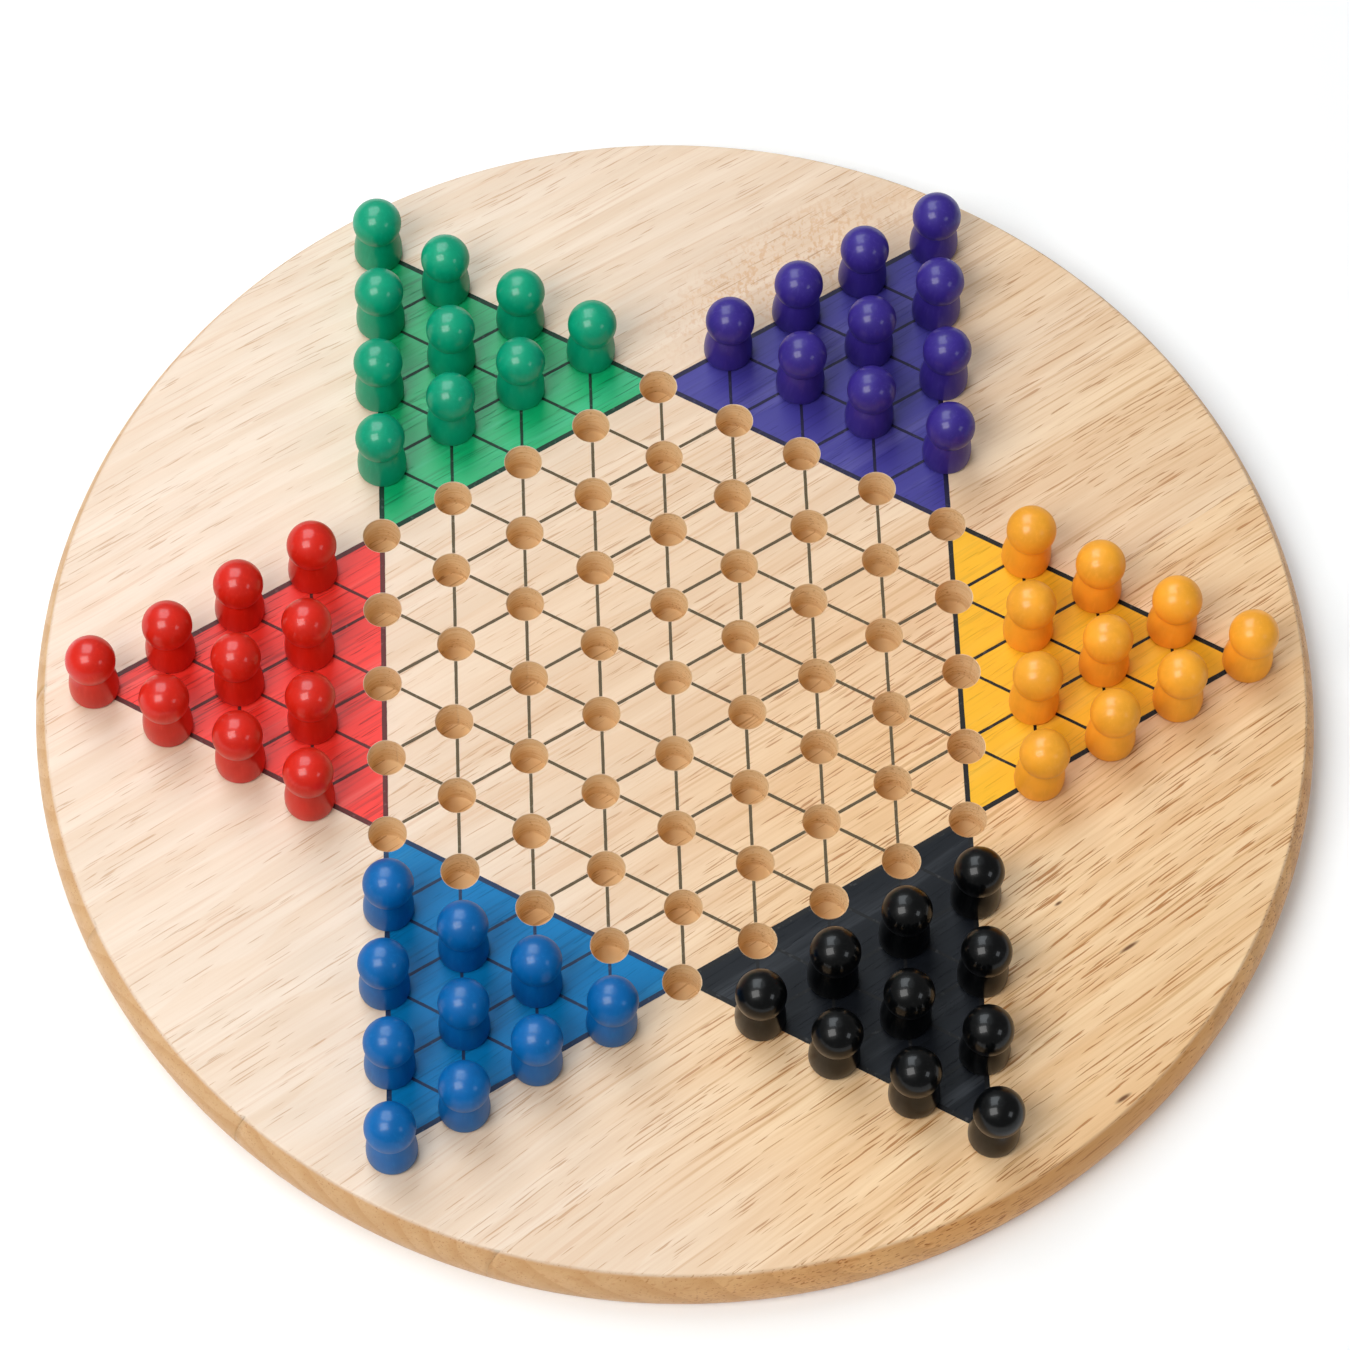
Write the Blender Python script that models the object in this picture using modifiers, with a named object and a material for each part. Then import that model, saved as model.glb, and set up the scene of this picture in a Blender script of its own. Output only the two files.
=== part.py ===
"""Round wooden star-game board with drilled holes and turned pegs.

The board is one thick wooden disc with 121 blind holes in a six-pointed star.
Each point of the star holds ten turned pegs of one colour, and the sixty-one
holes between them are empty.  Units are metres, +Z is up, and the origin is
the centre of the board's underside.
"""

import math
import random

import bmesh
import bpy
from mathutils import Matrix, Vector

OBJECT_NAME = "star_peg_board"

# Board
BOARD_DIAMETER = 0.292
BOARD_THICKNESS = 0.0127
TOP_EDGE_INSET = 0.0030  # how far the crisp top edge lies inside the widest line
WIDEST_HEIGHT = 0.0045  # height of the widest line of the rim above the table
BOARD_SIDES = 80
RIM_STEPS = 3

# Holes
HOLE_PITCH = 0.0189
PATTERN_OFFSET = (-0.0011, 0.0007)  # centre of the drilled star from the disc's centre
HOLE_DIAMETER = 0.0086
HOLE_DEPTH = 0.0100
HOLE_SIDES = 10
CUTTER_RISE = 0.0020  # the drills start this far above the board
DRILL_WANDER = 0.00035  # spread of a hole's place about its ideal place
DRILL_WANDER_LIMIT = 0.0008
DRILL_SEED = 7

# Pegs, from the foot's flat face up
PEG_GAP = 0.0003  # foot to board
STEM_DIAMETER = 0.0078
STEM_LENGTH = 0.0090
STEM_CHAMFER = 0.0006
FOOT_DIAMETER = 0.0108
BARREL_DIAMETER = 0.0114
BARREL_HEIGHT = 0.0016
SHOULDER_DIAMETER = 0.0105
SHOULDER_HEIGHT = 0.0062
HEAD_DIAMETER = 0.0112
HEAD_HEIGHT = 0.0135  # centre of the ball above the foot
NECK_DIAMETER = 0.0090
HEAD_STEPS = 4
PEG_SIDES = 12

# The star: one point each 60 degrees, with its pegs' colour in sRGB and roughness.
STAR_ROWS = 4
HEXAGON_SIDE = 5  # holes along one side of the empty hexagon
STAR_POINTS = (
    ("yellow", 0.0, (0.96, 0.62, 0.16), 0.42),
    ("purple", 60.0, (0.22, 0.16, 0.56), 0.25),
    ("green", 120.0, (0.07, 0.62, 0.44), 0.28),
    ("red", 180.0, (0.80, 0.13, 0.12), 0.20),
    ("blue", 240.0, (0.05, 0.38, 0.68), 0.35),
    ("black", 300.0, (0.03, 0.04, 0.05), 0.12),
)
BOARD_COLOUR = (0.90, 0.77, 0.62)
BOARD_ROUGHNESS = 0.45

# The last peg of the last point has its hole here, and no solid of its own.
PEG_SOLIDS = 59

MERGE_DISTANCE = 0.00002


def clear_scene():
    """Remove every object that the file opened with."""
    for obj in list(bpy.data.objects):
        bpy.data.objects.remove(obj, do_unlink=True)


def new_collection(name):
    """Make a collection in the scene."""
    collection = bpy.data.collections.new(name)
    bpy.context.scene.collection.children.link(collection)
    return collection


def linear(colour):
    """Turn an sRGB colour into the linear values that a shader takes."""
    return [c / 12.92 if c <= 0.04045 else ((c + 0.055) / 1.055) ** 2.4 for c in colour]


def make_material(name, colour, roughness):
    """Make a plain Principled material."""
    material = bpy.data.materials.new(name)
    material.use_nodes = True
    shader = material.node_tree.nodes["Principled BSDF"]
    shader.inputs["Base Color"].default_value = (*linear(colour), 1.0)
    shader.inputs["Roughness"].default_value = roughness
    shader.inputs["Metallic"].default_value = 0.0
    material.diffuse_color = (*colour, 1.0)
    return material


def profile_mesh(name, points, material):
    """Make a mesh of edges that joins the (radius, height) points in turn."""
    mesh = bpy.data.meshes.new(name)
    vertices = [(radius, 0.0, height) for radius, height in points]
    edges = [(i, i + 1) for i in range(len(points) - 1)]
    mesh.from_pydata(vertices, edges, [])
    mesh.materials.append(material)
    return mesh


def add_screw(obj, sides):
    """Turn the object's profile once about its Z axis."""
    screw = obj.modifiers.new("Turn", "SCREW")
    screw.axis = "Z"
    screw.angle = math.tau
    screw.steps = sides
    screw.render_steps = sides
    screw.use_merge_vertices = True
    screw.merge_threshold = MERGE_DISTANCE
    screw.use_smooth_shade = True


def add_object(name, mesh, collection, parent=None):
    """Put a mesh in the collection as an object."""
    obj = bpy.data.objects.new(name, mesh)
    collection.objects.link(obj)
    obj.parent = parent
    return obj


def hexagon_holes():
    """Ideal places of the holes that stay empty, column by column."""
    places = []
    reach = HEXAGON_SIDE - 1
    for column in range(-reach, reach + 1):
        count = 2 * reach + 1 - abs(column)
        for row in range(count):
            x = column * math.sqrt(3.0) / 2.0
            y = (count - 1) / 2.0 - row
            places.append(Vector((x, y, 0.0)) * HOLE_PITCH)
    return places


def point_holes(angle):
    """Ideal places of one star point's holes, row by row from its tip."""
    tip = 2.0 * (HEXAGON_SIDE - 1) * math.sqrt(3.0) / 2.0
    turn = Matrix.Rotation(math.radians(angle), 4, "Z")
    places = []
    for row in range(STAR_ROWS):
        for step in range(row + 1):
            x = tip - row * math.sqrt(3.0) / 2.0
            y = row / 2.0 - step
            places.append(turn @ Vector((x, y, 0.0)) * HOLE_PITCH)
    return places


def drilled(places, wander):
    """Move each ideal place by the pattern's offset and the small error of its drilling."""
    offset = Vector((*PATTERN_OFFSET, 0.0))
    result = []
    for place in places:
        errors = [wander.gauss(0.0, DRILL_WANDER) for axis in range(2)]
        errors = [max(-DRILL_WANDER_LIMIT, min(DRILL_WANDER_LIMIT, e)) for e in errors]
        result.append(place + offset + Vector((*errors, 0.0)))
    return result


def rim_points():
    """Points down the rim: one arc, upright at its widest line."""
    rise = BOARD_THICKNESS - WIDEST_HEIGHT
    arc_radius = (TOP_EDGE_INSET ** 2 + rise ** 2) / (2.0 * TOP_EDGE_INSET)
    centre = BOARD_DIAMETER / 2.0 - arc_radius
    top_angle = math.asin(rise / arc_radius)
    angles = [top_angle * (1.0 - i / RIM_STEPS) for i in range(RIM_STEPS + 1)]
    angles.append(-math.asin(WIDEST_HEIGHT / arc_radius))
    points = []
    for angle in angles:
        radius = centre + arc_radius * math.cos(angle)
        points.append((radius, WIDEST_HEIGHT + arc_radius * math.sin(angle)))
    return points


def make_board(collection, cutters, holes):
    """Turn the disc, join its flat faces, and drill every hole."""
    points = [(0.0, BOARD_THICKNESS)] + rim_points() + [(0.0, 0.0)]
    material = make_material("board_wood", BOARD_COLOUR, BOARD_ROUGHNESS)
    board = add_object("board", profile_mesh("board", points, material), collection)
    add_screw(board, BOARD_SIDES)

    flat = board.modifiers.new("Flat faces", "DECIMATE")
    flat.decimate_type = "DISSOLVE"
    flat.angle_limit = math.radians(0.5)

    drill = board.modifiers.new("Drill", "BOOLEAN")
    drill.operation = "DIFFERENCE"
    drill.solver = "EXACT"
    drill.object = make_drills(cutters, holes)
    return board


def make_drills(collection, holes):
    """Make one upright cylinder for each hole, all in one cutter."""
    top = BOARD_THICKNESS + CUTTER_RISE
    floor = BOARD_THICKNESS - HOLE_DEPTH
    shape = bmesh.new()
    for hole in holes:
        bmesh.ops.create_cone(
            shape,
            cap_ends=True,
            segments=HOLE_SIDES,
            radius1=HOLE_DIAMETER / 2.0,
            radius2=HOLE_DIAMETER / 2.0,
            depth=top - floor,
            matrix=Matrix.Translation((hole.x, hole.y, (top + floor) / 2.0)),
        )
    mesh = bpy.data.meshes.new("hole_drills")
    shape.to_mesh(mesh)
    shape.free()
    drills = add_object("hole_drills", mesh, collection)
    drills.display_type = "WIRE"
    drills.hide_render = True
    return drills


def peg_points():
    """Profile of a peg from the top of its head to the end of its stem."""
    radius = HEAD_DIAMETER / 2.0
    neck_angle = math.pi - math.asin(NECK_DIAMETER / HEAD_DIAMETER)
    points = []
    for i in range(HEAD_STEPS + 1):
        angle = neck_angle * i / HEAD_STEPS
        points.append((radius * math.sin(angle), HEAD_HEIGHT + radius * math.cos(angle)))
    points.append((SHOULDER_DIAMETER / 2.0, SHOULDER_HEIGHT))
    points.append((BARREL_DIAMETER / 2.0, BARREL_HEIGHT))
    points.append((FOOT_DIAMETER / 2.0, 0.0))
    points.append((STEM_DIAMETER / 2.0, 0.0))
    points.append((STEM_DIAMETER / 2.0, STEM_CHAMFER - STEM_LENGTH))
    points.append((STEM_DIAMETER / 2.0 - STEM_CHAMFER, -STEM_LENGTH))
    points.append((0.0, -STEM_LENGTH))
    return points


def make_pegs(collection, board, colour_name, mesh, holes, count):
    """Stand one peg in each of the first holes, its axis on the hole's."""
    for number, hole in enumerate(holes[:count], start=1):
        name = f"{colour_name}_peg_{number:02d}"
        peg = add_object(name, mesh, collection, board)
        peg.location = (hole.x, hole.y, BOARD_THICKNESS + PEG_GAP)
        add_screw(peg, PEG_SIDES)


def main():
    clear_scene()
    parts = new_collection(OBJECT_NAME)
    cutters = new_collection("cutters")

    wander = random.Random(DRILL_SEED)
    empty_holes = drilled(hexagon_holes(), wander)
    peg_holes = {name: drilled(point_holes(angle), wander) for name, angle, _, _ in STAR_POINTS}
    every_hole = empty_holes + [hole for holes in peg_holes.values() for hole in holes]

    board = make_board(parts, cutters, every_hole)
    left = PEG_SOLIDS
    for name, _, colour, roughness in STAR_POINTS:
        material = make_material(f"{name}_paint", colour, roughness)
        mesh = profile_mesh(f"{name}_peg", peg_points(), material)
        count = min(left, len(peg_holes[name]))
        make_pegs(parts, board, name, mesh, peg_holes[name], count)
        left -= count


main()
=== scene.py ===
"""Looks of the round wooden star-game board: drilled staves, stained points, printed lines, turned pegs.

Units are metres, +Z is up, and the origin is the centre of the board's underside.
"""

import math
import random

import bmesh
import bpy
from mathutils import Matrix, Vector


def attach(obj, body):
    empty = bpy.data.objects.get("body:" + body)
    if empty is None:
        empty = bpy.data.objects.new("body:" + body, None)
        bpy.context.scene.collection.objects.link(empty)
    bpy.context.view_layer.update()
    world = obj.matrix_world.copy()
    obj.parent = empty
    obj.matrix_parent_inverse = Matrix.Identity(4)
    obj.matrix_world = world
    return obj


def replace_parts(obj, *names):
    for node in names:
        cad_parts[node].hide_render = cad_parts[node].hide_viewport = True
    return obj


# Board, as in the CAD
BOARD_DIAMETER = 0.292
BOARD_THICKNESS = 0.0127
TOP_EDGE_INSET = 0.0030
WIDEST_HEIGHT = 0.0045
HOLE_PITCH = 0.0189
PATTERN_OFFSET = (-0.0011, 0.0007)  # centre of the drilled star from the disc's centre
HOLE_DIAMETER = 0.0086
HOLE_DEPTH = 0.0100
DRILL_WANDER = 0.00035
DRILL_WANDER_LIMIT = 0.0008
DRILL_SEED = 7
STAR_ROWS = 4
HEXAGON_SIDE = 5
PEG_GAP = 0.0003
PEG_SOLIDS = 59

# Finer shape of the board
RIM_SIDES = 288
RIM_STEPS = 14
EDGE_EASE = 0.0005  # radius of the board's sanded edges
TOP_EASE_SHARE = 0.8  # the top edge's ease is this much as tall as it is wide
EASE_STEPS = 4
MOUTH_EASE = 0.00015  # radius of a hole's mouth
MOUTH_STEPS = 3
FLOOR_FILLET = 0.0003
HOLE_SEGMENTS = 40
GRAIN_ANGLE = math.radians(33.0)  # the staves run this way, up from +X
STAVE_JOINTS = (-0.091, -0.034, 0.023, 0.080)  # across the grain, from the board's centre

# Printing on the top face
STAIN_RISE = 0.00003
LINE_RISE = 0.00005
PRINT_ROOT = 0.00004  # how deep films and lines reach into the wood
THIN_LINE = 0.00072
BORDER_LINE = 0.00115
LINE_PARTS = 7  # lengths between two holes, each with its own slightly uneven edge
LINE_UNEVEN = 0.00003
LINE_CORNERS = ((0, 0), (0, 1), (1, 1), (1, 0))  # round a line: top or root, and which side
PRINT_OFFSET = (-0.0011, 0.0014)  # centre of the printed star, which misses the drilled one a little
PRINT_SEED = 23
NODE_TOLERANCE = 0.01 * HOLE_PITCH  # places closer than this are the same
CUT_TOLERANCE = 1e-7
HEIGHT_TOLERANCE = 1e-6

# Pegs, with heights up from the foot
HEAD_RADIUS = 0.0057
HEAD_CENTRE = 0.0134
HEAD_END = math.radians(119.0)  # where the ball runs out into the neck
HEAD_STEPS = 26
DIMPLE_RADIUS = 0.0007
DIMPLE_DEPTH = 0.000084
NECK_HEIGHT = 0.0099
PEG_LEAN = math.radians(1.5)  # most that a peg leans in its loose hole
PEG_SEGMENTS = 56
SHARP_ANGLE = math.radians(50.0)  # edges of a peg sharper than this stay crisp
MM_PER_METRE = 1000.0
NECK_AND_BODY = (  # radius and height in millimetres, below the ball of the head
    (4.68, 10.45),
    (4.56, 10.12),
    (4.52, 9.84),
    (4.57, 9.50),
    (4.72, 8.80),
    (4.98, 7.60),
    (5.26, 6.20),
    (5.50, 4.60),
    (5.66, 3.00),
    (5.70, 1.60),
    (5.66, 0.60),
    (5.55, 0.15),
    (5.30, 0.00),
)
STEM = (  # radius and height in millimetres
    (3.90, 0.00),
    (3.90, -8.40),
    (3.75, -8.75),
    (3.30, -9.00),
)
SPLINE_STEPS = 3

STAR_POINTS = (
    ("yellow", 0.0),
    ("purple", 60.0),
    ("green", 120.0),
    ("red", 180.0),
    ("blue", 240.0),
    ("black", 300.0),
)

# Finishes: paint colour, roughness, coat weight, coat roughness, colour of the neck line (worn paint and
# a painted highlight)
PEG_PAINT = {
    "yellow": ((255, 173, 50), 0.42, 0.20, 0.14, (252, 200, 120)),
    "purple": ((56, 40, 136), 0.42, 0.34, 0.10, (108, 94, 182)),
    "green": ((0, 158, 118), 0.42, 0.40, 0.10, (84, 200, 156)),
    "red": ((214, 34, 18), 0.38, 0.42, 0.08, (242, 116, 76)),
    "blue": ((0, 99, 170), 0.42, 0.26, 0.13, (96, 166, 214)),
    "black": ((4, 5, 6), 0.30, 0.32, 0.05, (92, 84, 66)),
}
# Stain colour, how much grain shows through it, its gloss, its printed lines
STAIN = {
    "yellow": ((242, 182, 40), 0.28, 0.09, (20, 16, 12)),
    "purple": ((60, 53, 141), 0.45, 0.12, (26, 20, 56)),
    "green": ((0, 170, 104), 0.75, 0.16, (12, 52, 36)),
    "red": ((242, 52, 42), 0.80, 0.09, (92, 34, 32)),
    "blue": ((0, 117, 177), 0.45, 0.05, (14, 44, 80)),
    "black": ((16, 20, 27), 0.60, 0.09, (10, 11, 14)),
}
GRID_LINE_COLOUR = (88, 72, 46)
STAIN_LIGHTER = 0.20  # how far thin stain goes towards white
STAIN_DARKER = 0.70  # full stain's colour times this is the stain in pores and fibres
INK_WORN = (0.25, 205)  # how far worn ink goes towards a grey
PAINT_DARKER = 0.93
PAINT_LIGHTER = 0.07
WORN_GLINT_EDGE = (0.00016, 0.00004)  # the neck's lighter line, worn paint and a painted highlight, fades in over these distances from it

# Floor, and the light that comes from all round
FLOOR_REACH = 6.0
FLOOR_HEIGHT = -0.0002
FLOOR_GLOW = 0.08  # the floor is a lit white sweep
FLOOR_COLOURS = ((250, 250, 250), (246, 246, 246))
WORLD_COLOUR = (1.0, 0.985, 0.96, 1.0)
WORLD_STRENGTH = 0.23

# Soft boxes: place, width and depth, colour.  Two hang overhead on the left, near and far,
# and a small one stands lower on the right.
NEAR_BOX = ((-0.56, -0.42, 1.06), (0.74, 0.64), (1.0, 0.99, 0.97))
FAR_BOX = ((-0.38, 0.66, 1.12), (0.85, 1.05), (0.88, 0.95, 1.0))
RIGHT_BOX = ((0.83, -0.54, 0.64), (0.30, 0.35), (0.9, 0.95, 1.0))
# Name, box, watts, and whether it lights matt surfaces.  Each large box has a twin that only
# gloss sees, which makes its reflection crisp.
LIGHTS = (
    ("near_box", NEAR_BOX, 9.8, True),
    ("near_gloss", NEAR_BOX, 20.0, False),
    ("far_box", FAR_BOX, 10.0, True),
    ("far_gloss", FAR_BOX, 32.0, False),
    ("right_box", RIGHT_BOX, 1.2, True),
)

# Camera
CAMERA_AZIMUTH = math.radians(-4.515)
CAMERA_ELEVATION = math.radians(63.409)
CAMERA_ROLL = math.radians(2.72)
CAMERA_DISTANCE = 1.1719
CAMERA_TARGET = Vector((-0.00043, 0.0011, BOARD_THICKNESS))
CAMERA_LENS = 137.33
SENSOR_WIDTH = 36.0


# ---------------------------------------------------------------- places


def hexagon_nodes():
    """Ideal places of the holes that stay empty, column by column."""
    places = []
    reach = HEXAGON_SIDE - 1
    for column in range(-reach, reach + 1):
        count = 2 * reach + 1 - abs(column)
        for row in range(count):
            x = column * math.sqrt(3.0) / 2.0
            y = (count - 1) / 2.0 - row
            places.append(Vector((x, y, 0.0)) * HOLE_PITCH)
    return places


def point_nodes(angle):
    """Ideal places of one star point's holes, row by row from its tip."""
    tip = 2.0 * (HEXAGON_SIDE - 1) * math.sqrt(3.0) / 2.0
    turn = Matrix.Rotation(math.radians(angle), 4, "Z")
    places = []
    for row in range(STAR_ROWS):
        for step in range(row + 1):
            x = tip - row * math.sqrt(3.0) / 2.0
            y = row / 2.0 - step
            places.append(turn @ Vector((x, y, 0.0)) * HOLE_PITCH)
    return places


def drilled(places, wander):
    """Move each ideal place by the pattern's offset and the small error of its drilling."""
    offset = Vector((*PATTERN_OFFSET, 0.0))
    result = []
    for place in places:
        errors = [wander.gauss(0.0, DRILL_WANDER) for axis in range(2)]
        errors = [max(-DRILL_WANDER_LIMIT, min(DRILL_WANDER_LIMIT, e)) for e in errors]
        result.append(place + offset + Vector((*errors, 0.0)))
    return result


def printed(places):
    """Move each ideal place by the printed star's offset."""
    return [place + Vector((*PRINT_OFFSET, 0.0)) for place in places]


def star_places():
    """Pairs of printed and drilled places: the hexagon's, and each point's by colour."""
    wander = random.Random(DRILL_SEED)
    ideal = hexagon_nodes()
    hexagon = list(zip(printed(ideal), drilled(ideal, wander)))
    points = {}
    for name, angle in STAR_POINTS:
        ideal = point_nodes(angle)
        points[name] = list(zip(printed(ideal), drilled(ideal, wander)))
    return hexagon, points


# ---------------------------------------------------------------- mesh helpers


def ring(shape, centre, radius, height, sides):
    """Add a level circle of vertices."""
    result = []
    for i in range(sides):
        angle = math.tau * i / sides
        x = centre.x + radius * math.cos(angle)
        y = centre.y + radius * math.sin(angle)
        result.append(shape.verts.new((x, y, height)))
    return result


def band(shape, upper, lower, material_index=0):
    """Join two circles of vertices with smooth faces."""
    count = len(upper)
    for i in range(count):
        j = (i + 1) % count
        face = shape.faces.new((upper[i], upper[j], lower[j], lower[i]))
        face.smooth = True
        face.material_index = material_index


def loop_edges(shape, vertices):
    """Add the edges of a closed loop."""
    count = len(vertices)
    pairs = [(vertices[i], vertices[(i + 1) % count]) for i in range(count)]
    return [shape.edges.get(pair) or shape.edges.new(pair) for pair in pairs]


def mesh_object(name, shape, materials):
    """Turn a bmesh into an object with outward faces."""
    bmesh.ops.recalc_face_normals(shape, faces=shape.faces)
    mesh = bpy.data.meshes.new(name)
    shape.to_mesh(mesh)
    shape.free()
    for material in materials:
        mesh.materials.append(material)
    obj = bpy.data.objects.new(name, mesh)
    bpy.context.scene.collection.objects.link(obj)
    return obj


def set_shift(obj, shift):
    """Store on the mesh how far its texture is shifted."""
    attribute = obj.data.attributes.new("texture_shift", "FLOAT_VECTOR", "POINT")
    attribute.data.foreach_set("vector", list(shift) * len(obj.data.vertices))


# ---------------------------------------------------------------- board


def rim_profile():
    """Radius and height down the rim, from the eased top edge to the eased bottom one."""
    rise = BOARD_THICKNESS - WIDEST_HEIGHT
    arc = (TOP_EDGE_INSET ** 2 + rise ** 2) / (2.0 * TOP_EDGE_INSET)
    centre = BOARD_DIAMETER / 2.0 - arc
    top_angle = math.asin((rise - EDGE_EASE * TOP_EASE_SHARE) / arc)
    low_angle = -math.asin((WIDEST_HEIGHT - EDGE_EASE) / arc)
    side = []
    for i in range(RIM_STEPS + 1):
        angle = top_angle + (low_angle - top_angle) * i / RIM_STEPS
        side.append((centre + arc * math.cos(angle), WIDEST_HEIGHT + arc * math.sin(angle)))
    top = eased((side[0][0] - EDGE_EASE, BOARD_THICKNESS), side[0])
    bottom = eased((side[-1][0] - EDGE_EASE, 0.0), side[-1])
    return top + side + bottom[::-1]


def eased(flat, upright):
    """Points of the quarter round that leads from a flat face to an upright one."""
    points = []
    for i in range(EASE_STEPS):
        angle = math.pi / 2.0 * i / EASE_STEPS
        radius = flat[0] + (upright[0] - flat[0]) * math.sin(angle)
        height = upright[1] + (flat[1] - upright[1]) * math.cos(angle)
        points.append((radius, height))
    return points


def hole_profile():
    """Radius and height down a hole, from its mouth to the edge of its floor."""
    wall = HOLE_DIAMETER / 2.0
    floor = BOARD_THICKNESS - HOLE_DEPTH
    points = []
    for i in range(MOUTH_STEPS + 1):
        angle = math.pi / 2.0 * i / MOUTH_STEPS
        radius = wall + MOUTH_EASE * (1.0 - math.sin(angle))
        points.append((radius, BOARD_THICKNESS - MOUTH_EASE * (1.0 - math.cos(angle))))
    for i in range(MOUTH_STEPS + 1):
        angle = math.pi / 2.0 * i / MOUTH_STEPS
        radius = wall - FLOOR_FILLET * (1.0 - math.cos(angle))
        points.append((radius, floor + FLOOR_FILLET * (1.0 - math.sin(angle))))
    return points


def board_shape(holes):
    """The whole drilled disc.  Material 0 is the sanded outside, 1 the inside of the holes."""
    shape = bmesh.new()
    centre = Vector((0.0, 0.0, 0.0))
    rims = [ring(shape, centre, r, z, RIM_SIDES) for r, z in rim_profile()]
    for upper, lower in zip(rims, rims[1:]):
        band(shape, upper, lower)
    shape.faces.new(rims[-1])
    top_edges = loop_edges(shape, rims[0])
    for hole in holes:
        rings = [ring(shape, hole, r, z, HOLE_SEGMENTS) for r, z in hole_profile()]
        for number, (upper, lower) in enumerate(zip(rings, rings[1:])):
            band(shape, upper, lower, 0 if number < MOUTH_STEPS else 1)
        floor = shape.faces.new(rings[-1])
        floor.material_index = 1
        top_edges += loop_edges(shape, rings[0])
    bmesh.ops.triangle_fill(shape, use_beauty=True, edges=top_edges)
    return shape


def cut_away(shape, point, normal, cap):
    """Remove what lies beyond a plane, and close the cut if asked."""
    parts = shape.verts[:] + shape.edges[:] + shape.faces[:]
    cut = bmesh.ops.bisect_plane(
        shape, geom=parts, plane_co=point, plane_no=normal, dist=CUT_TOLERANCE, clear_outer=True
    )
    edges = [e for e in cut["geom_cut"] if isinstance(e, bmesh.types.BMEdge)]
    if cap and edges:
        bmesh.ops.triangle_fill(shape, use_beauty=True, edges=edges)


def make_staves(whole, materials):
    """Cut the disc along its glue joints into staves."""
    across = Vector((-math.sin(GRAIN_ANGLE), math.cos(GRAIN_ANGLE), 0.0))
    limits = [None, *STAVE_JOINTS, None]
    shifts = random.Random(PRINT_SEED)
    for number, (low, high) in enumerate(zip(limits, limits[1:]), start=1):
        shape = whole.copy()
        if low is not None:
            cut_away(shape, across * low, -across, cap=True)
        if high is not None:
            cut_away(shape, across * high, across, cap=True)
        stave = mesh_object(f"board_stave_{number}", shape, materials)
        set_shift(stave, [shifts.uniform(0.0, 1.0) for axis in range(3)])
        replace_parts(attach(stave, "board"), "board")


# ---------------------------------------------------------------- printing


def point_corners(angle):
    """The three nodes at the corners of one stained point: its tip and its base's ends."""
    turn = Matrix.Rotation(math.radians(angle), 4, "Z")
    step = math.sqrt(3.0) / 2.0
    reach = HEXAGON_SIDE - 1
    corners = [(2 * reach * step, 0.0), (reach * step, reach / 2.0), (reach * step, -reach / 2.0)]
    return printed([turn @ Vector((x, y, 0.0)) * HOLE_PITCH for x, y in corners])


def make_stain(name, angle, whole, material):
    """A thin film of stain that covers one point of the star around its holes."""
    shape = whole.copy()
    level = BOARD_THICKNESS - HEIGHT_TOLERANCE
    below = [f for f in shape.faces if f.calc_center_median().z < level]
    bmesh.ops.delete(shape, geom=below, context="FACES")
    corners = point_corners(angle)
    middle = sum(corners, Vector()) / 3.0
    for start, end in zip(corners, corners[1:] + corners[:1]):
        normal = (end - start).cross(Vector((0.0, 0.0, 1.0)))
        if normal.dot(middle - start) > 0.0:
            normal.negate()
        cut_away(shape, start, normal, cap=False)
    bmesh.ops.translate(shape, verts=shape.verts, vec=(0.0, 0.0, STAIN_RISE))
    roots = bmesh.ops.extrude_face_region(shape, geom=shape.faces[:])["geom"]
    roots = [v for v in roots if isinstance(v, bmesh.types.BMVert)]
    bmesh.ops.translate(shape, verts=roots, vec=(0.0, 0.0, -STAIN_RISE - PRINT_ROOT))
    film = mesh_object(f"{name}_stain", shape, [material])
    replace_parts(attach(film, "board"), "board")


def side_reach(start, end, offset, hole, leaving):
    """How far along a line, moved sideways, the edge of a hole lies."""
    direction = (end - start).normalized()
    sideways = Vector((-direction.y, direction.x, 0.0))
    relative = start + sideways * offset - hole
    along = relative.dot(direction)
    radius = HOLE_DIAMETER / 2.0 + MOUTH_EASE
    half = math.sqrt(radius ** 2 - (relative - direction * along).length_squared)
    return -along + half if leaving else -along - half


def add_line(shape, first, last, width, uneven):
    """Add one printed line between the mouths of two holes."""
    (start, start_hole), (end, end_hole) = first, last
    direction = (end - start).normalized()
    sideways = Vector((-direction.y, direction.x, 0.0))
    rows = []
    for side in (-0.5, 0.5):
        near = side_reach(start, end, width * side, start_hole, True)
        far = side_reach(start, end, width * side, end_hole, False)
        row = []
        for i in range(LINE_PARTS + 1):
            along = near + (far - near) * i / LINE_PARTS
            error = uneven.uniform(-LINE_UNEVEN, LINE_UNEVEN) if 0 < i < LINE_PARTS else 0.0
            row.append(start + direction * along + sideways * (width * side + error))
        rows.append(row)
    top = BOARD_THICKNESS + LINE_RISE
    root = BOARD_THICKNESS - PRINT_ROOT
    levels = []
    for z in (top, root):
        levels.append([[shape.verts.new((p.x, p.y, z)) for p in row] for row in rows])
    edges = [levels[level][side] for level, side in LINE_CORNERS]
    for i in range(LINE_PARTS):
        for one, other in zip(edges, edges[1:] + edges[:1]):
            shape.faces.new((one[i], one[i + 1], other[i + 1], other[i]))
    for i in (0, LINE_PARTS):
        shape.faces.new([edge[i] for edge in edges])


def neighbours(places):
    """Pairs of places that stand one pitch apart."""
    pairs = []
    for i, first in enumerate(places):
        for last in places[i + 1:]:
            if abs((first[0] - last[0]).length - HOLE_PITCH) < NODE_TOLERANCE:
                pairs.append((first, last))
    return pairs


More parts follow.
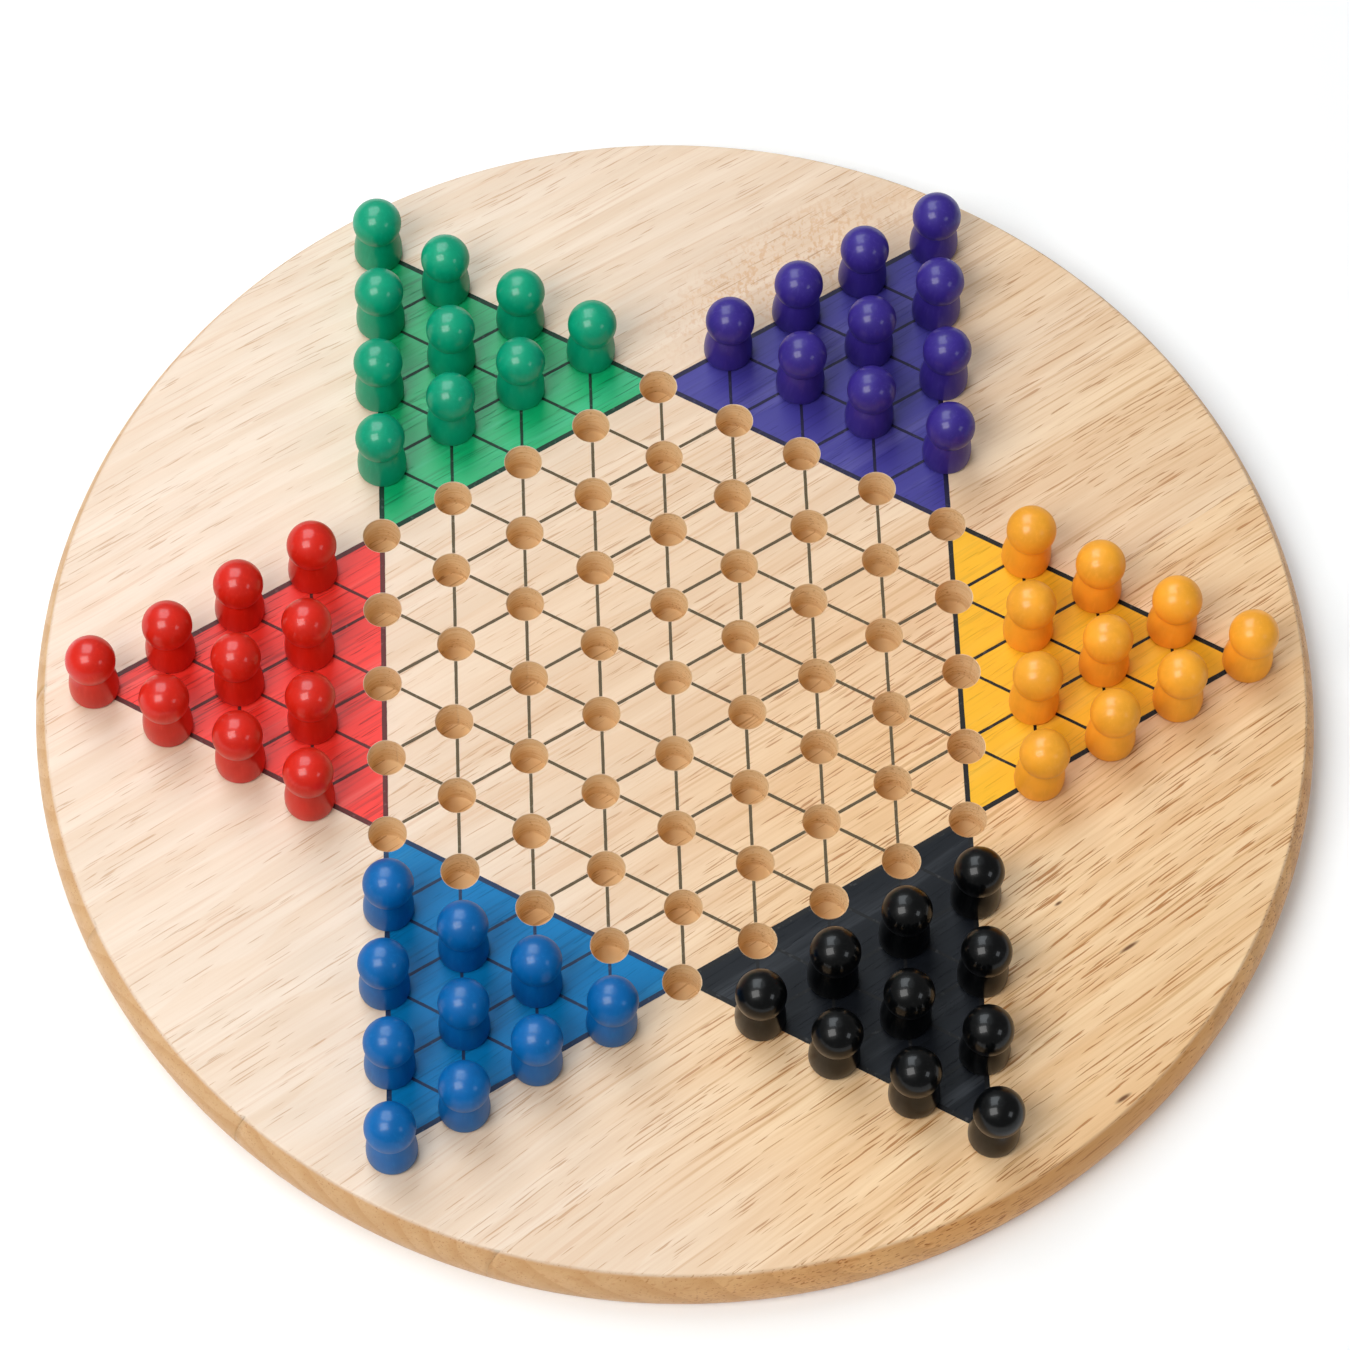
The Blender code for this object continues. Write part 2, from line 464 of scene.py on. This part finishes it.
def on_border(pair, corners):
    """Whether a line runs along one side of a stained point."""
    middle = (pair[0][0] + pair[1][0]) / 2.0
    for start, end in zip(corners, corners[1:] + corners[:1]):
        side = (end - start).normalized()
        away = (middle - start) - side * (middle - start).dot(side)
        if away.length < NODE_TOLERANCE:
            return True
    return False


def inside(place, corners):
    """Whether a node lies in or on the triangle of a stained point."""
    for start, end, third in zip(corners, corners[1:] + corners[:1], corners[2:] + corners[:2]):
        normal = (end - start).cross(Vector((0.0, 0.0, 1.0))).normalized()
        if (third - start).dot(normal) < 0.0:
            normal.negate()
        if (place - start).dot(normal) < -NODE_TOLERANCE:
            return False
    return True


def make_line_piece(name, groups, material, uneven):
    """All the lines of one colour, from groups of hole pairs and widths."""
    shape = bmesh.new()
    for pairs, width in groups:
        for first, last in pairs:
            add_line(shape, first, last, width, uneven)
    lines = mesh_object(name, shape, [material])
    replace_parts(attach(lines, "board"), "board")


def make_printing(whole, hexagon, points):
    """The stained points and every printed line."""
    uneven = random.Random(PRINT_SEED)
    bases = []
    for name, angle in STAR_POINTS:
        colour, grain, gloss, line_colour = STAIN[name]
        make_stain(name, angle, whole, stain_material(name, colour, grain, gloss))
        corners = point_corners(angle)
        base = [p for p in hexagon if inside(p[0], corners)]
        pairs = neighbours(base + points[name])
        border = [p for p in pairs if on_border(p, corners)]
        inner = [p for p in pairs if not on_border(p, corners)]
        bases += [p for p in border if p[0] in base and p[1] in base]
        ink = ink_material(f"{name}_ink", line_colour)
        groups = ((border, BORDER_LINE), (inner, THIN_LINE))
        make_line_piece(f"{name}_lines", groups, ink, uneven)
    grid = [p for p in neighbours(hexagon) if p not in bases]
    ink = ink_material("grid_ink", GRID_LINE_COLOUR)
    make_line_piece("grid_lines", ((grid, THIN_LINE),), ink, uneven)


# ---------------------------------------------------------------- pegs


def spline(points, steps):
    """Smooth curve through the points."""
    ends = [points[0]] + list(points) + [points[-1]]
    result = []
    for a, b, c, d in zip(ends, ends[1:], ends[2:], ends[3:]):
        for i in range(steps):
            t = i / steps
            result.append(tuple(
                0.5 * (2.0 * q + (r - p) * t + (2.0 * p - 5.0 * q + 4.0 * r - s) * t ** 2
                       + (3.0 * q - p - 3.0 * r + s) * t ** 3)
                for p, q, r, s in zip(a, b, c, d)
            ))
    result.append(points[-1])
    return result


def peg_profile():
    """Radius and height down a peg, from the edge of the head's dimple to the stem's end."""
    start = math.asin(DIMPLE_RADIUS / HEAD_RADIUS)
    head = []
    for i in range(HEAD_STEPS + 1):
        angle = start + (HEAD_END - start) * i / HEAD_STEPS
        radius = HEAD_RADIUS * math.sin(angle)
        head.append((radius, HEAD_CENTRE + HEAD_RADIUS * math.cos(angle)))
    below = [(radius / MM_PER_METRE, height / MM_PER_METRE) for radius, height in NECK_AND_BODY]
    body = spline([head[-1]] + below, SPLINE_STEPS)[1:]
    stem = [(radius / MM_PER_METRE, height / MM_PER_METRE) for radius, height in STEM]
    return head + body + stem


def peg_shape():
    """One turned peg with its axis on Z and its foot at height 0."""
    shape = bmesh.new()
    centre = Vector((0.0, 0.0, 0.0))
    rings = [ring(shape, centre, r, z, PEG_SEGMENTS) for r, z in peg_profile()]
    for upper, lower in zip(rings, rings[1:]):
        band(shape, upper, lower)
    top = HEAD_CENTRE + HEAD_RADIUS - DIMPLE_DEPTH
    dimple = shape.verts.new((0.0, 0.0, top))
    for i in range(PEG_SEGMENTS):
        face = shape.faces.new((rings[0][i], rings[0][(i + 1) % PEG_SEGMENTS], dimple))
        face.smooth = True
    shape.faces.new(rings[-1])
    return shape


def make_pegs(points):
    """Sixty pegs.  Each rides on its own body; the last black one goes with its neighbour."""
    turned = peg_shape()
    turns = random.Random(PRINT_SEED)
    left = PEG_SOLIDS
    for name, _ in STAR_POINTS:
        material = paint_material(name, *PEG_PAINT[name])
        for number, (_, hole) in enumerate(points[name], start=1):
            shape = turned.copy()
            angle = turns.uniform(0.0, math.tau)
            bmesh.ops.rotate(shape, verts=shape.verts, matrix=Matrix.Rotation(angle, 3, "Z"))
            place = Vector((hole.x, hole.y, BOARD_THICKNESS + PEG_GAP))
            peg = mesh_object(f"{name}_peg_turned_{number:02d}", shape, [material])
            set_shift(peg, [turns.uniform(0.0, 1.0) for axis in range(3)])
            mark_flats(peg.data)
            peg.location = place
            lean = turns.uniform(0.0, PEG_LEAN)
            towards = turns.uniform(0.0, math.tau)
            peg.rotation_euler = (lean * math.cos(towards), lean * math.sin(towards), 0.0)
            body = f"{name}_peg_{number:02d}" if left > 0 else f"{name}_peg_{number - 1:02d}"
            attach(peg, body)
            if left > 0:
                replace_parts(peg, body)
            left -= 1
    turned.free()


def mark_flats(mesh):
    """Keep sharp edges sharp in the smooth shading."""
    mesh.set_sharp_from_angle(angle=SHARP_ANGLE)


# ---------------------------------------------------------------- node helpers


def linear(colour):
    """Turn an sRGB colour of 0 to 255 into the linear values that a shader takes."""
    parts = [c / 255.0 for c in colour]
    parts = [c / 12.92 if c <= 0.04045 else ((c + 0.055) / 1.055) ** 2.4 for c in parts]
    return (*parts, 1.0)


def put(tree, socket, value):
    """Link a socket to another, or set its value."""
    if isinstance(value, bpy.types.NodeSocket):
        tree.links.new(value, socket)
    else:
        socket.default_value = value


def calc(tree, operation, *values, clamp=False):
    """A Math node."""
    node = tree.nodes.new("ShaderNodeMath")
    node.operation = operation
    node.use_clamp = clamp
    for socket, value in zip(node.inputs, values):
        put(tree, socket, value)
    return node.outputs[0]


def vector_calc(tree, operation, a, b):
    """A Vector Math node."""
    node = tree.nodes.new("ShaderNodeVectorMath")
    node.operation = operation
    put(tree, node.inputs[0], a)
    put(tree, node.inputs[1], b)
    return node.outputs[0]


def noise(tree, vector, scale, detail=2.0, roughness=0.5):
    """A Noise node, stretched along the axes by the three parts of scale."""
    node = tree.nodes.new("ShaderNodeTexNoise")
    put(tree, node.inputs["Vector"], vector_calc(tree, "MULTIPLY", vector, scale))
    node.inputs["Scale"].default_value = 1.0
    node.inputs["Detail"].default_value = detail
    node.inputs["Roughness"].default_value = roughness
    return node.outputs[0]


def ease(tree, value, low, high):
    """Smooth step from 0 at low to 1 at high."""
    node = tree.nodes.new("ShaderNodeMapRange")
    node.interpolation_type = "SMOOTHSTEP"
    put(tree, node.inputs["Value"], value)
    put(tree, node.inputs["From Min"], low)
    put(tree, node.inputs["From Max"], high)
    return node.outputs[0]


def span(tree, value, low, high):
    """Stretch a value of 0 to 1 over low to high."""
    return calc(tree, "MULTIPLY_ADD", value, high - low, low)


def mix(tree, factor, a, b, kind="MIX"):
    """A Mix node for colours."""
    node = tree.nodes.new("ShaderNodeMix")
    node.data_type = "RGBA"
    node.blend_type = kind
    put(tree, node.inputs[0], factor)
    put(tree, node.inputs[6], a)
    put(tree, node.inputs[7], b)
    return node.outputs[2]


def between(tree, factor, colours):
    """A blend of two sRGB colours."""
    first, second = colours
    return mix(tree, factor, linear(first), linear(second))


def bump(tree, height, distance, strength):
    """A Bump node."""
    node = tree.nodes.new("ShaderNodeBump")
    node.inputs["Strength"].default_value = strength
    node.inputs["Distance"].default_value = distance
    put(tree, node.inputs["Height"], height)
    return node.outputs[0]


def new_material(name, roughness, specular, coat=0.0, coat_roughness=0.1):
    """A material, its node tree and its shader."""
    material = bpy.data.materials.new(name)
    material.use_nodes = True
    shader = material.node_tree.nodes["Principled BSDF"]
    shader.inputs["Roughness"].default_value = roughness
    shader.inputs["Specular IOR Level"].default_value = specular
    shader.inputs["Coat Weight"].default_value = coat
    shader.inputs["Coat Roughness"].default_value = coat_roughness
    return material, material.node_tree, shader


def object_place(tree):
    """The point's own place, in metres."""
    return tree.nodes.new("ShaderNodeTexCoord").outputs["Object"]


def texture_shift(tree):
    """The shift stored on the mesh by set_shift."""
    node = tree.nodes.new("ShaderNodeAttribute")
    node.attribute_name = "texture_shift"
    return node.outputs["Vector"]


def split(tree, vector):
    """The three parts of a vector."""
    node = tree.nodes.new("ShaderNodeSeparateXYZ")
    put(tree, node.inputs[0], vector)
    return node.outputs


def join(tree, x, y, z):
    """A vector from three parts."""
    node = tree.nodes.new("ShaderNodeCombineXYZ")
    for socket, value in zip(node.inputs, (x, y, z)):
        put(tree, socket, value)
    return node.outputs[0]


# ---------------------------------------------------------------- wood

GRAIN_FAN = 0.45  # how quickly the grain's direction turns across the board
GRAIN_DRIFT = 0.006  # how far the grain wanders sideways
PITH_DEPTH = 0.055  # the growth rings' centre lies this far under the board
PITH_SPREAD = 0.05  # how far apart the staves' growth centres lie, sideways
RING_WOBBLE = 0.010
RINGS_PER_METRE = 190.0
PAINTED_SHEEN_RISE = (3.5, -0.5)  # how quickly the wood turns golden along X and along Y: a painted sheen that leaves the left and back of the top paler
SHEENLESS_GOLD_PATCH = ((0.078, -0.082), (0.130, 0.130))  # where the wood is most golden, painted where no sheen falls
LESS_SHEEN_MIDDLE = ((0.0, 0.0), (0.095, 0.095))  # painted: the middle of the board is a little golden, where less sheen falls on it
CURL = ((0.030, 0.108), (0.050, 0.017))  # centre and half size of a patch of curly figure
DARK_MARKS = (  # centres and half sizes
    ((0.098, -0.069), (0.0036, 0.0006)),
    ((0.083, -0.058), (0.0014, 0.0005)),
    ((0.094, -0.105), (0.0028, 0.0007)),
)

# The wood's sRGB colours: one, or a pair that the grain or the warmth blends
PALE_BANDS = ((231, 210, 189), (224, 200, 176))
GOLD_BANDS = ((243, 209, 165), (230, 188, 139))
LATE_WOOD = (216, 172, 126)
FIBRES = ((220, 186, 156), (208, 158, 104))
HAIR_LINES = ((214, 174, 140), (196, 142, 80))
CURL_COLOUR = (214, 168, 126)
PORES = ((194, 148, 108), (172, 110, 50))
DARK_MARK = (104, 60, 20)
# Painted: the golden tint of the board's middle, where less sheen falls.
LESS_SHEEN_TINT = (250, 242, 231)
RIM_TINT = (238, 213, 175)
RIM_BANDS = (196, 146, 92)
RIM_FADE = (0.0002, 0.0010)  # the rim's tint comes in between these depths below the top
BORE_BANDS = ((238, 208, 164), (228, 192, 144))
BORE_PORES = (172, 116, 66)
GRAIN_RELIEF = 0.00006


def grain_place(tree):
    """Place along, across and up in the grain, gently bent, and shifted for each stave."""
    turn = tree.nodes.new("ShaderNodeMapping")
    turn.inputs["Rotation"].default_value = (0.0, 0.0, -GRAIN_ANGLE)
    put(tree, turn.inputs["Vector"], object_place(tree))
    along, across, up = split(tree, turn.outputs[0])
    fan = calc(tree, "MULTIPLY_ADD", along, GRAIN_FAN, 1.0)
    bent = calc(tree, "MULTIPLY", across, fan)
    drift = noise(tree, turn.outputs[0], (9.0, 22.0, 22.0), detail=1.0)
    bent = calc(tree, "MULTIPLY_ADD", drift, GRAIN_DRIFT, bent)
    return vector_calc(tree, "ADD", join(tree, along, bent, up), texture_shift(tree))


def growth_rings(tree, grain):
    """0 to 1 across each growth ring."""
    _, across, up = split(tree, grain)
    shift = split(tree, texture_shift(tree))
    level = calc(tree, "ADD", calc(tree, "SUBTRACT", up, shift[2]), PITH_DEPTH)
    aside = calc(tree, "SUBTRACT", across, shift[1])
    aside = calc(tree, "MULTIPLY_ADD", shift[0], PITH_SPREAD, aside)
    level_squared = calc(tree, "POWER", level, 2.0)
    squares = calc(tree, "ADD", level_squared, calc(tree, "MULTIPLY", aside, aside))
    radius = calc(tree, "SQRT", squares)
    wobble = noise(tree, grain, (14.0, 30.0, 30.0), detail=2.0)
    radius = calc(tree, "MULTIPLY_ADD", wobble, RING_WOBBLE, radius)
    return calc(tree, "FRACT", calc(tree, "MULTIPLY", radius, RINGS_PER_METRE))


def soft_spot(tree, place, centre, size):
    """1 in the middle of an ellipse along the grain, falling to 0 at its edge."""
    node = tree.nodes.new("ShaderNodeMapping")
    node.vector_type = "TEXTURE"
    node.inputs["Location"].default_value = (*centre, 0.0)
    node.inputs["Rotation"].default_value = (0.0, 0.0, GRAIN_ANGLE)
    node.inputs["Scale"].default_value = (*size, 1.0)
    put(tree, node.inputs["Vector"], place)
    across = vector_calc(tree, "MULTIPLY", node.outputs[0], (1.0, 1.0, 0.0))
    reach = tree.nodes.new("ShaderNodeVectorMath")
    reach.operation = "LENGTH"
    put(tree, reach.inputs[0], across)
    return ease(tree, reach.outputs["Value"], 1.0, 0.25)


def warm_share(tree, place, grain):
    """0 in the pale wood on the left, 1 in the golden wood on the right: random tone, plus a painted
    sheen that pales the left and back.
    """
    rise_x, rise_y = PAINTED_SHEEN_RISE
    x, y, _ = split(tree, place)
    # Painted sheen: the top is paler towards the left and back, and golden in one patch on the right
    # where no sheen falls.
    lean = calc(tree, "MULTIPLY_ADD", y, rise_y, calc(tree, "MULTIPLY", x, rise_x))
    lean = calc(tree, "MULTIPLY_ADD", soft_spot(tree, place, *SHEENLESS_GOLD_PATCH), 0.55, lean)
    cloud = noise(tree, grain, (5.0, 26.0, 26.0), detail=3.0)
    return ease(tree, calc(tree, "MULTIPLY_ADD", cloud, 0.5, lean), 0.0, 1.0)


def pore_share(tree, grain, warm):
    """1 in the short open pores, which crowd together in some bands and in the golden wood."""
    pore = noise(tree, grain, (85.0, 2200.0, 2200.0), detail=1.0)
    density = noise(tree, grain, (14.0, 120.0, 120.0), detail=2.0)
    edge = calc(tree, "MULTIPLY_ADD", density, -0.26, 0.782)
    edge = calc(tree, "MULTIPLY_ADD", warm, -0.030, edge)
    return ease(tree, pore, edge, calc(tree, "ADD", edge, 0.05))


def mark_share(tree, place):
    """1 in the few short dark marks."""
    marks = [soft_spot(tree, place, centre, size) for centre, size in DARK_MARKS]
    result = marks[0]
    for mark in marks[1:]:
        result = calc(tree, "MAXIMUM", result, mark)
    return result


def wood_layers(tree):
    """How much of each feature of the wood there is at each point, by name."""
    grain = grain_place(tree)
    place = object_place(tree)
    warm = warm_share(tree, place, grain)
    hair = noise(tree, grain, (20.0, 1150.0, 1150.0), detail=1.0)
    rings = growth_rings(tree, grain)
    late = calc(tree, "MULTIPLY", ease(tree, rings, 0.35, 0.95), ease(tree, rings, 1.0, 0.96))
    stipple = noise(tree, place, (900.0, 620.0, 900.0), detail=2.0, roughness=0.6)
    stipple = ease(tree, stipple, 0.46, 0.66)
    return {
        "warm": warm,
        "streak": noise(tree, grain, (7.0, 170.0, 170.0), detail=4.0, roughness=0.6),
        "fibre": noise(tree, grain, (60.0, 1500.0, 1500.0), detail=2.0),
        "hair": ease(tree, hair, 0.58, 0.72),
        "late": late,
        "pore": pore_share(tree, grain, warm),
        "curl": calc(tree, "MULTIPLY", soft_spot(tree, place, *CURL), stipple),
        "mark": mark_share(tree, place),
        "less_sheen": soft_spot(tree, place, *LESS_SHEEN_MIDDLE),
    }


def wood_colour(tree, layers):
    """Cream to golden wood with soft bands, hair lines and short brown pores; its paleness on the left
    is partly painted sheen.
    """
    warm, streak = layers["warm"], layers["streak"]
    pale = between(tree, ease(tree, streak, 0.34, 0.66), PALE_BANDS)
    gold = between(tree, ease(tree, streak, 0.32, 0.68), GOLD_BANDS)
    base = mix(tree, warm, pale, gold)
    base = mix(tree, calc(tree, "MULTIPLY", layers["late"], 0.16), base, linear(LATE_WOOD))
    fibres = calc(tree, "MULTIPLY", ease(tree, layers["fibre"], 0.42, 0.75), 0.28)
    base = mix(tree, fibres, base, between(tree, warm, FIBRES))
    hairs = calc(tree, "MULTIPLY", layers["hair"], span(tree, warm, 0.42, 0.60))
    base = mix(tree, hairs, base, between(tree, warm, HAIR_LINES))
    base = mix(tree, calc(tree, "MULTIPLY", layers["curl"], 0.75), base, linear(CURL_COLOUR))
    pores = calc(tree, "MULTIPLY", layers["pore"], span(tree, warm, 0.62, 0.85))
    base = mix(tree, pores, base, between(tree, warm, PORES))
    base = mix(tree, calc(tree, "MULTIPLY", layers["mark"], 0.95), base, linear(DARK_MARK))
    # Painted lack of sheen: the middle of the top is tinted golden.
    less_sheen = mix(tree, 1.0, base, linear(LESS_SHEEN_TINT), kind="MULTIPLY")
    return mix(tree, layers["less_sheen"], base, less_sheen)


def rim_colour(tree, layers, base):
    """The same wood, golder and more banded below the top face."""
    _, _, up = split(tree, object_place(tree))
    start, end = RIM_FADE
    side = ease(tree, up, BOARD_THICKNESS - start, BOARD_THICKNESS - end)
    varnished = mix(tree, 1.0, base, linear(RIM_TINT), kind="MULTIPLY")
    bands = calc(tree, "MULTIPLY", layers["late"], 0.4)
    varnished = mix(tree, bands, varnished, linear(RIM_BANDS))
    return mix(tree, side, base, varnished)


def grain_bump(tree, layers, fibre_height):
    """Raised fibres and sunken pores."""
    sunken = calc(tree, "MULTIPLY", layers["pore"], -1.0)
    height = calc(tree, "MULTIPLY_ADD", layers["fibre"], fibre_height, sunken)
    return bump(tree, height, GRAIN_RELIEF, 0.6)


def wood_material():
    """Sanded, matt-varnished wood."""
    material, tree, shader = new_material("panel_wood", 0.4, specular=0.16)
    layers = wood_layers(tree)
    base = rim_colour(tree, layers, wood_colour(tree, layers))
    put(tree, shader.inputs["Base Color"], base)
    put(tree, shader.inputs["Normal"], grain_bump(tree, layers, 0.3))
    put(tree, shader.inputs["Roughness"], span(tree, layers["streak"], 0.30, 0.46))
    return material


def bore_material():
    """Bare drilled wood inside the holes: browner, with the drill's fine rings."""
    material, tree, shader = new_material("drilled_wood", 0.7, specular=0.10)
    layers = wood_layers(tree)
    cut = noise(tree, object_place(tree), (160.0, 160.0, 1900.0), detail=2.0)
    raw = between(tree, ease(tree, cut, 0.35, 0.7), BORE_BANDS)
    raw = mix(tree, calc(tree, "MULTIPLY", layers["pore"], 0.5), raw, linear(BORE_PORES))
    put(tree, shader.inputs["Base Color"], raw)
    put(tree, shader.inputs["Normal"], bump(tree, cut, 0.00008, 0.7))
    put(tree, shader.inputs["Roughness"], span(tree, cut, 0.6, 0.8))
    return material


def stain_material(name, colour, grain_share, gloss):
    """Thin stain over wood: the grain's streaks and pores show through."""
    material, tree, shader = new_material(f"{name}_wood_stain", 0.45, specular=gloss)
    layers = wood_layers(tree)
    full = linear(colour)
    thin = linear([c + (255 - c) * STAIN_LIGHTER for c in colour])
    deep = linear([c * STAIN_DARKER for c in colour])
    streaks = ease(tree, layers["streak"], 0.52, 0.72)
    base = mix(tree, calc(tree, "MULTIPLY", streaks, grain_share), full, thin)
    fibres = ease(tree, layers["fibre"], 0.5, 0.8)
    base = mix(tree, calc(tree, "MULTIPLY", fibres, grain_share * 0.6), base, deep)
    lines = calc(tree, "MAXIMUM", layers["pore"], calc(tree, "MULTIPLY", layers["hair"], 0.7))
    base = mix(tree, calc(tree, "MULTIPLY", lines, grain_share), base, deep)
    put(tree, shader.inputs["Base Color"], base)
    put(tree, shader.inputs["Normal"], grain_bump(tree, layers, 0.4))
    put(tree, shader.inputs["Roughness"], span(tree, layers["streak"], 0.30, 0.44))
    return material


def ink_material(name, colour):
    """Printed ink, a little patchy where the wood's fibres show through."""
    material, tree, shader = new_material(name, 0.55, specular=0.12)
    place = object_place(tree)
    patch = noise(tree, place, (700.0, 700.0, 700.0), detail=3.0)
    share, grey = INK_WORN
    paler_tone = linear([c + (grey - c) * share for c in colour])
    base = mix(tree, ease(tree, patch, 0.55, 0.8), linear(colour), paler_tone)
    put(tree, shader.inputs["Base Color"], base)
    put(tree, shader.inputs["Normal"], bump(tree, patch, 0.00002, 0.5))
    put(tree, shader.inputs["Roughness"], span(tree, patch, 0.45, 0.65))
    return material


def paint_material(name, colour, roughness, coat, coat_roughness, paler_tone):
    """Sprayed paint on turned wood: faint turning rings, grain under it, and a thin line at the neck of
    worn paint and a painted highlight.
    """
    material, tree, shader = new_material(
        f"{name}_gloss_paint", roughness, specular=0.10, coat=coat, coat_roughness=coat_roughness
    )
    place = object_place(tree)
    shifted = vector_calc(tree, "ADD", place, texture_shift(tree))
    _, _, up = split(tree, place)
    cloud = noise(tree, shifted, (160.0, 160.0, 110.0), detail=3.0)
    grain = noise(tree, shifted, (1300.0, 1300.0, 130.0), detail=2.0)
    rings = noise(tree, join(tree, 0.0, 0.0, up), (1.0, 1.0, 2300.0), detail=2.0)
    full = linear(colour)
    dark = linear([c * PAINT_DARKER for c in colour])
    light = linear([c + (255 - c) * PAINT_LIGHTER for c in colour])
    base = mix(tree, ease(tree, cloud, 0.3, 0.7), dark, full)
    base = mix(tree, calc(tree, "MULTIPLY", ease(tree, grain, 0.5, 0.8), 0.5), base, light)
    # Painted highlight with some wear: a lighter line round the neck's crease.
    shoulder = calc(tree, "ABSOLUTE", calc(tree, "SUBTRACT", up, NECK_HEIGHT))
    edge = ease(tree, shoulder, *WORN_GLINT_EDGE)
    edge = calc(tree, "MULTIPLY", edge, ease(tree, cloud, 0.35, 0.6))
    base = mix(tree, calc(tree, "MULTIPLY", edge, 0.5), base, linear(paler_tone))
    put(tree, shader.inputs["Base Color"], base)
    height = calc(tree, "MULTIPLY_ADD", rings, 0.6, calc(tree, "MULTIPLY", grain, 0.4))
    put(tree, shader.inputs["Normal"], bump(tree, height, 0.00003, 0.5))
    put(tree, shader.inputs["Roughness"], span(tree, cloud, roughness * 0.8, roughness * 1.25))
    return material


# ---------------------------------------------------------------- stage


def make_floor():
    """A plain pale floor."""
    shape = bmesh.new()
    corners = []
    for x, y in ((-1, -1), (1, -1), (1, 1), (-1, 1)):
        corners.append(shape.verts.new((x * FLOOR_REACH, y * FLOOR_REACH, FLOOR_HEIGHT)))
    shape.faces.new(corners)
    material, tree, shader = new_material("studio_floor", 0.9, specular=0.1)
    dust = noise(tree, object_place(tree), (3.0, 3.0, 3.0), detail=2.0)
    put(tree, shader.inputs["Base Color"], between(tree, dust, FLOOR_COLOURS))
    shader.inputs["Emission Color"].default_value = (1.0, 1.0, 1.0, 1.0)
    shader.inputs["Emission Strength"].default_value = FLOOR_GLOW
    floor = mesh_object("studio_floor", shape, [material])


def make_light(name, box, power, diffuse):
    """A soft rectangular light that looks at the board, its width level with X."""
    place, size, colour = box
    data = bpy.data.lights.new(name, "AREA")
    data.shape = "RECTANGLE"
    data.size, data.size_y = size
    data.energy = power
    data.color = colour
    light = bpy.data.objects.new(name, data)
    back = Vector(place).normalized()
    across = Vector((0.0, 1.0, 0.0)).cross(back).normalized()
    turn = Matrix((across, back.cross(across), back)).transposed().to_4x4()
    light.matrix_world = Matrix.Translation(place) @ turn
    light.visible_camera = False
    light.visible_diffuse = diffuse
    bpy.context.scene.collection.objects.link(light)


def make_world():
    """Even pale light from all round."""
    world = bpy.data.worlds.new("studio")
    world.use_nodes = True
    background = world.node_tree.nodes["Background"]
    background.inputs["Color"].default_value = WORLD_COLOUR
    background.inputs["Strength"].default_value = WORLD_STRENGTH
    bpy.context.scene.world = world


def make_lights():
    """Every soft box, and the gloss twins of the large ones."""
    for name, box, power, diffuse in LIGHTS:
        make_light(name, box, power, diffuse)


def make_camera():
    """The photograph's camera: high in front, a little to the left, slightly rolled."""
    azimuth, elevation, roll = CAMERA_AZIMUTH, CAMERA_ELEVATION, CAMERA_ROLL
    back = Vector((
        math.sin(azimuth) * math.cos(elevation),
        -math.cos(azimuth) * math.cos(elevation),
        math.sin(elevation),
    ))
    level = (-back).cross(Vector((0.0, 0.0, 1.0))).normalized()
    up = level.cross(-back)
    right = level * math.cos(roll) + up * math.sin(roll)
    top = -level * math.sin(roll) + up * math.cos(roll)
    data = bpy.data.cameras.new("camera")
    data.lens = CAMERA_LENS
    data.sensor_width = SENSOR_WIDTH
    camera = bpy.data.objects.new("camera", data)
    turn = Matrix((right, top, back)).transposed().to_4x4()
    camera.matrix_world = Matrix.Translation(CAMERA_TARGET + back * CAMERA_DISTANCE) @ turn
    bpy.context.scene.collection.objects.link(camera)
    bpy.context.scene.camera = camera


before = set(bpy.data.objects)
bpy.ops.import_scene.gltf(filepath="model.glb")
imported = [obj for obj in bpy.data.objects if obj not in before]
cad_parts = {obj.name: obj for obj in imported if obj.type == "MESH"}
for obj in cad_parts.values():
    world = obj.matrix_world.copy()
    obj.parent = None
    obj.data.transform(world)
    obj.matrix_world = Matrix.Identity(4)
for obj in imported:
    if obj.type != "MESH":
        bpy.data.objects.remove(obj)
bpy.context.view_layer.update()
bpy.context.scene.view_settings.view_transform = "Standard"
make_camera()
make_world()
make_lights()
make_floor()
hexagon_places, point_places = star_places()
all_holes = [hole for _, hole in hexagon_places]
all_holes += [hole for places in point_places.values() for _, hole in places]
disc = board_shape(all_holes)
make_staves(disc, [wood_material(), bore_material()])
make_printing(disc, hexagon_places, point_places)
disc.free()
make_pegs(point_places)
